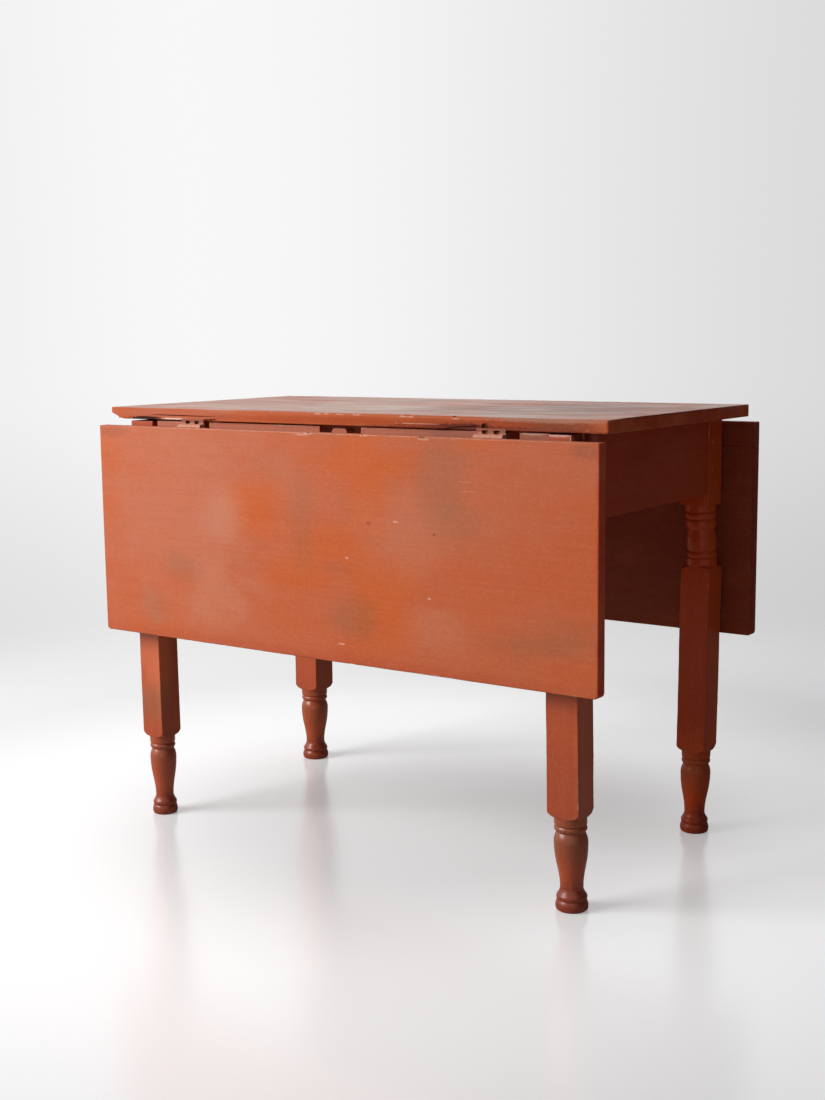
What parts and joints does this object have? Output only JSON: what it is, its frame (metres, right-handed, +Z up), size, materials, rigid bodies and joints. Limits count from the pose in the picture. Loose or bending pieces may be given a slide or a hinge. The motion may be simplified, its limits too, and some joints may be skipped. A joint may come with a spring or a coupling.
{
  "type": "drop leaf table",
  "caption": "Painted wooden drop leaf table on turned legs, with hinged hanging leaves and swinging support arms.",
  "frame": {"origin": "on the floor, under the middle of the top", "axes": "+X along the table's length to the right, +Y towards the rear leaf, +Z up"},
  "size_m": [0.9945, 0.56, 0.737],
  "materials": {
    "painted_wood": "worn satin terracotta paint on wood",
    "painted_iron": "terracotta paint over forged iron",
    "iron": "dark bare iron",
    "bare_wood": "unpainted old pine"
  },
  "bodies": {
    "frame": {"arm_pivot_pins": "iron", "block_screws": "iron", "front_left_hinge_pin": "painted_iron", "front_left_hinge_top_plate": "painted_iron", "front_left_leg": "painted_wood", "front_left_top_block": "bare_wood", "front_right_hinge_pin": "painted_iron", "front_right_hinge_top_plate": "painted_iron", "front_right_leg": "painted_wood", "front_right_top_block": "bare_wood", "front_side_apron": "painted_wood", "left_end_apron": "painted_wood", "rear_left_hinge_pin": "painted_iron", "rear_left_hinge_top_plate": "painted_iron", "rear_left_leg": "painted_wood", "rear_left_top_block": "bare_wood", "rear_right_hinge_pin": "painted_iron", "rear_right_hinge_top_plate": "painted_iron", "rear_right_leg": "painted_wood", "rear_right_top_block": "bare_wood", "rear_side_apron": "painted_wood", "right_end_apron": "painted_wood", "tenon_pegs": "painted_wood", "top_board": "painted_wood", "top_hinge_screws": "painted_iron"},
    "front_leaf": {"front_leaf_board": "painted_wood", "front_leaf_screws": "painted_iron", "front_left_hinge_leaf_plate": "painted_iron", "front_right_hinge_leaf_plate": "painted_iron"},
    "rear_leaf": {"rear_leaf_board": "painted_wood", "rear_leaf_hinge_board": "painted_wood", "rear_leaf_screws": "painted_iron", "rear_left_hinge_leaf_plate": "painted_iron", "rear_right_hinge_leaf_plate": "painted_iron"},
    "front_short_arm": {"front_short_arm": "painted_wood"},
    "front_long_arm": {"front_long_arm": "painted_wood"},
    "rear_short_arm": {"rear_short_arm": "painted_wood"},
    "rear_long_arm": {"rear_long_arm": "painted_wood"}
  },
  "joints": [
    {"name": "front_leaf_hinge", "type": "hinge", "parent": "frame", "child": "front_leaf", "pos_m": [0, -0.249, 0.706], "axis": [-1, 0, 0], "range_deg": [0, 90]},
    {"name": "rear_leaf_hinge", "type": "hinge", "parent": "frame", "child": "rear_leaf", "pos_m": [0, 0.249, 0.706], "axis": [1, 0, 0], "range_deg": [0, 90]},
    {"name": "front_short_arm_pivot", "type": "hinge", "parent": "frame", "child": "front_short_arm", "pos_m": [-0.1495, -0.2285, 0.7], "axis": [0, 0, -1], "range_deg": [0, 7]},
    {"name": "front_long_arm_pivot", "type": "hinge", "parent": "frame", "child": "front_long_arm", "pos_m": [0.194, -0.2285, 0.7], "axis": [0, 0, 1], "range_deg": [0, 7]},
    {"name": "rear_short_arm_pivot", "type": "hinge", "parent": "frame", "child": "rear_short_arm", "pos_m": [0.1495, 0.2285, 0.7], "axis": [0, 0, -1], "range_deg": [0, 7]},
    {"name": "rear_long_arm_pivot", "type": "hinge", "parent": "frame", "child": "rear_long_arm", "pos_m": [-0.194, 0.2285, 0.7], "axis": [0, 0, 1], "range_deg": [0, 7]}
  ]
}
